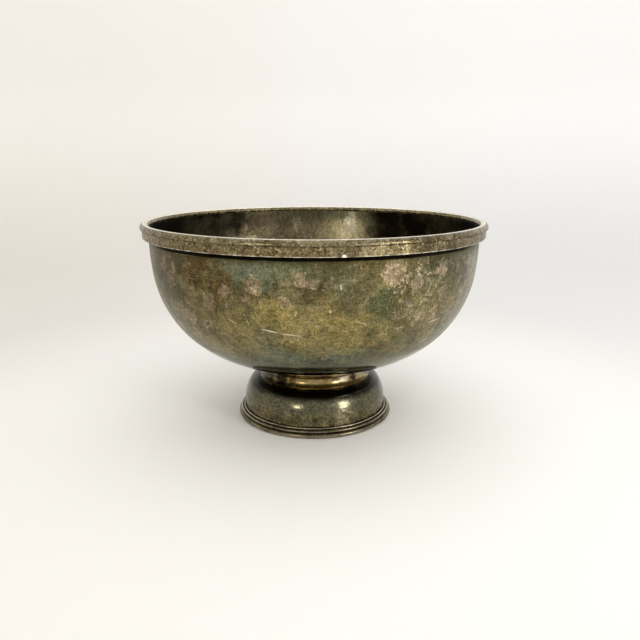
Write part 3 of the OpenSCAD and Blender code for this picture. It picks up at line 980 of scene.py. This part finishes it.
FINISHES = {"bowl_silver": bowl_silver(), "foot_silver": foot_silver(),
            "rim_silver": rim_silver("rim_silver", RIM_TONES, 0.4, 0.5, 1.3, 21),
            "hoop_silver": rim_silver("hoop_silver", HOOP_TONES, 0.5, 0.62, 0.5, 71),
            "moulding_silver": moulding_silver(), "neck_brass": neck_brass(),
            "fixing_steel": fixing_steel()}


# ------ the bowl's pieces

def stands_for(piece, node):
    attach(piece, "root")
    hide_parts(node)


outer, inner = bowl_line(0), bowl_line(SHEET)
bowl = turn("spun_bowl", outer + inner[::-1], FINISHES["bowl_silver"], ring=False,
            inside=lambda i: 1.0 if i >= len(outer) else 0.0,
            dent_depth=0.00045, dent_size=0.055, dent_low=0.056, dent_high=0.165, seed=3.0, around=256)
stands_for(bowl, "bowl_shell")

rim = turn("rim_moulding", rim_outline(), FINISHES["rim_silver"], around=288,
           worn=[(CREST + 0.0004, RIM_TOP, 0.0015), (CREST - 0.0016, RIM_TOP - 0.0004, 0.0012)],
           grime=[(RIM_OUT, SEAT, 0.0008), (CREST - WIRE_ROUND + 0.0003, RIM_TOP - WIRE_ROUND, 0.0015)])
stands_for(rim, "rim_wire")

hoop = turn("rim_hoop", hoop_outline(), FINISHES["hoop_silver"], around=288,
            worn=[(HOOP_OUT, HOOP_LOW + 0.0004, 0.0006)], grime=[(HOOP_OUT, SEAT, 0.0007)])
stands_for(hoop, "rim_band")

neck = turn("neck_cove", neck_outline(), FINISHES["neck_brass"], around=192,
            worn=[(shoulder_radius() - 0.0014, crown_height(0.05) - 0.0004, 0.0008),
                  (shoulder_radius(), FOOT_TOP, 0.0012)])
stands_for(neck, "neck_collar")

outer_foot, inner_foot = foot_line(0), foot_line(FOOT_SHEET)
foot = turn("rounded_foot", outer_foot + inner_foot[::-1], FINISHES["foot_silver"], around=224,
            inside=lambda i: 1.0 if len(outer_foot) <= i < len(outer_foot) + len(inner_foot) else 0.0,
            dent_depth=0.0003, dent_size=0.03, dent_low=0.009, dent_high=0.037, dent_fade=0.006, seed=7.0)
stands_for(foot, "foot_dome")

corner = turn("corner_bead", corner_bead_outline(), FINISHES["moulding_silver"], around=224,
              worn=[(FOOT_WALL + 0.0018, SHELF + 0.0018, 0.0009)],
              grime=[(FOOT_WALL, SHELF + 0.0016, 0.0008), (FOOT_WALL + 0.0016, SHELF, 0.0009)])
stands_for(corner, "foot_bead")

base = turn("base_moulding", base_outline(), FINISHES["moulding_silver"], around=256,
            worn=[(FOOT_WALL + LIP_PROUD, LIP_ROUND * 0.7, 0.0013),
                  (FOOT_WALL + 0.0037, SHELF + BEAD_RISE, 0.0010)],
            grime=[(FOOT_WALL + 0.0038, 0.0043, 0.0011), (FOOT_WALL + 0.0022, SHELF, 0.0012)])
stands_for(base, "base_ring")

stud = turn("threaded_stud", stud_outline(), FINISHES["fixing_steel"], ring=False, around=48, sharp=50,
            thread=lambda p: 1.0 if stud_low.z + 0.001 < p[1] < stud_high.z - 0.0006 else 0.0,
            thread_pitch=THREAD_PITCH, thread_depth=THREAD_DEPTH)
stands_for(stud, "mounting_stud")

nut = turn("chamfered_nut", nut_outline(), FINISHES["fixing_steel"], around=96, sharp=25,
           flats_across=nut_high.y - nut_low.y)
stands_for(nut, "hex_nut")

for node, finish in (("clamp_washer", "fixing_steel"), ("lock_washer", "fixing_steel"),
                     ("stud_pad", "neck_brass")):
    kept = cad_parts[node]
    kept.data.materials.clear()
    kept.data.materials.append(FINISHES[finish])


# ------ table, walls and light

def paper():
    """Pale seamless paper with painted light and shade: darker and warmer to the left, the floor darker than
    the wall, and a painted pool of light round the foot that lifts the bowl's shadow.
    """
    sheet = bpy.data.materials.new("pale_paper")
    sheet.use_nodes = True
    tree = sheet.node_tree
    place = add(tree, "ShaderNodeTexCoord").outputs["Object"]
    axes = split(tree, place)
    cloud = add(tree, "ShaderNodeTexNoise", {"Vector": place, "Scale": 2.5, "Detail": 3.0}).outputs[0]
    drift = calc(tree, "ADD", axes["X"], times(tree, minus(tree, cloud, 0.5), 0.25))
    far = add(tree, "ShaderNodeVectorMath", {0: place}, operation="LENGTH").outputs["Value"]
    # Painted shade: the paper darker and warmer to the left, lighter to the right.
    sideways = ease(tree, drift, -0.8, 0.7)
    floor = blend(tree, sideways, (0.735, 0.7, 0.655), (0.75, 0.75, 0.747))
    wall = blend(tree, sideways, (0.87, 0.845, 0.81), (0.94, 0.94, 0.938))
    # Painted shade: the floor darker than the wall.
    sweep = blend(tree, ease(tree, axes["Z"], 0.0, 0.4), floor, wall)
    # Painted light: a pool of whiter paper round the foot, lifting the bowl's shadow.
    colour = blend(tree, ease(tree, far, 0.55, 0.1), sweep, (0.95, 0.94, 0.915))
    shader = tree.nodes["Principled BSDF"].inputs
    put(tree, shader["Base Color"], colour)
    shader["Roughness"].default_value = 0.85
    shader["Specular IOR Level"].default_value = 0.2
    return sheet


def add_stage():
    """A round sheet of paper that sweeps up into a wall, a hair under the foot."""
    flat, bend, wall, under, around = 0.95, 0.45, 1.35, 0.00015, 96
    line = [(0, 0)] + arc((flat, bend), bend, 0, 90, 16) + [(flat + bend, wall)]
    mesh = bpy.data.meshes.new("paper_sweep")
    turns = [math.tau * k / around for k in range(around)]
    verts = [(x * math.cos(a), x * math.sin(a), z - under) for x, z in line for a in turns]
    faces = []
    for r in range(len(line) - 1):
        for k in range(around):
            n = (k + 1) % around
            faces.append((r * around + k, r * around + n, (r + 1) * around + n, (r + 1) * around + k))
    mesh.from_pydata(verts, [], faces)
    for face in mesh.polygons:
        face.use_smooth = True
    mesh.materials.append(paper())
    sweep = bpy.data.objects.new("paper_sweep", mesh)
    scene.collection.objects.link(sweep)


def add_light(name, direction, distance, size, watts, colour, height=0.03):
    """A soft panel facing the point on the axis at that height."""
    lamp = bpy.data.lights.new(name, "AREA")
    lamp.shape = "RECTANGLE"
    lamp.size, lamp.size_y = size
    lamp.energy = watts
    lamp.color = colour
    holder = bpy.data.objects.new(name, lamp)
    toward = Vector(direction).normalized()
    holder.location = Vector((0, 0, height)) + toward * distance
    holder.rotation_euler = (-toward).to_track_quat("-Z", "Y").to_euler()
    holder.visible_camera = False
    scene.collection.objects.link(holder)


def add_world():
    world = bpy.data.worlds.new("soft_room")
    world.use_nodes = True
    shade = world.node_tree.nodes["Background"]
    shade.inputs["Color"].default_value = (0.985, 0.985, 0.97, 1)
    shade.inputs["Strength"].default_value = 0.97
    scene.world = world


add_stage()
add_light("window_left", (-0.44, -0.864, 0.25), 1.15, (0.22, 0.14), 1.5, (1.0, 0.97, 0.92))
add_light("window_right", (0.735, -0.635, 0.255), 1.15, (0.28, 0.34), 4.2, (1.0, 0.97, 0.95))
add_light("ceiling_soft", (0.12, 0.20, 1.0), 1.5, (2.2, 2.2), 5.6, (1.0, 1.0, 1.0))
add_world()
